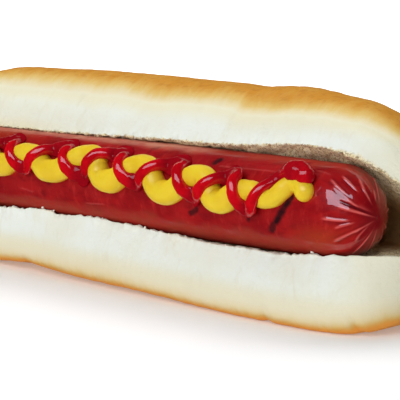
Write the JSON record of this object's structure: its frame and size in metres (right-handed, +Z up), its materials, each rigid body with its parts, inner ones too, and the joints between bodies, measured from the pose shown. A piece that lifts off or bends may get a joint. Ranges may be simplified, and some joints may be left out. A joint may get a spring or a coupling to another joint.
{
  "type": "hot dog",
  "caption": "Hot dog: a soft side-split bun holding a grilled sausage, topped with crossing wavy lines of mustard and ketchup.",
  "frame": {"origin": "on the ground under the middle of the hot dog's bounding box", "axes": "+X along the sausage, -Y towards the bun's open front, +Z up"},
  "size_m": [0.172, 0.0578, 0.0517],
  "materials": {
    "bun_bread": "matt, soft white bread with a thin golden crust on its crown and base",
    "sausage_skin": "glossy, moist, deep red skin with dark grill marks",
    "mustard": "smooth and slightly glossy, yellow",
    "ketchup": "glossy, wet, dark red"
  },
  "bodies": {
    "root": {"bun": "bun_bread", "sausage": "sausage_skin", "mustard": "mustard", "ketchup": "ketchup"}
  },
  "joints": []
}
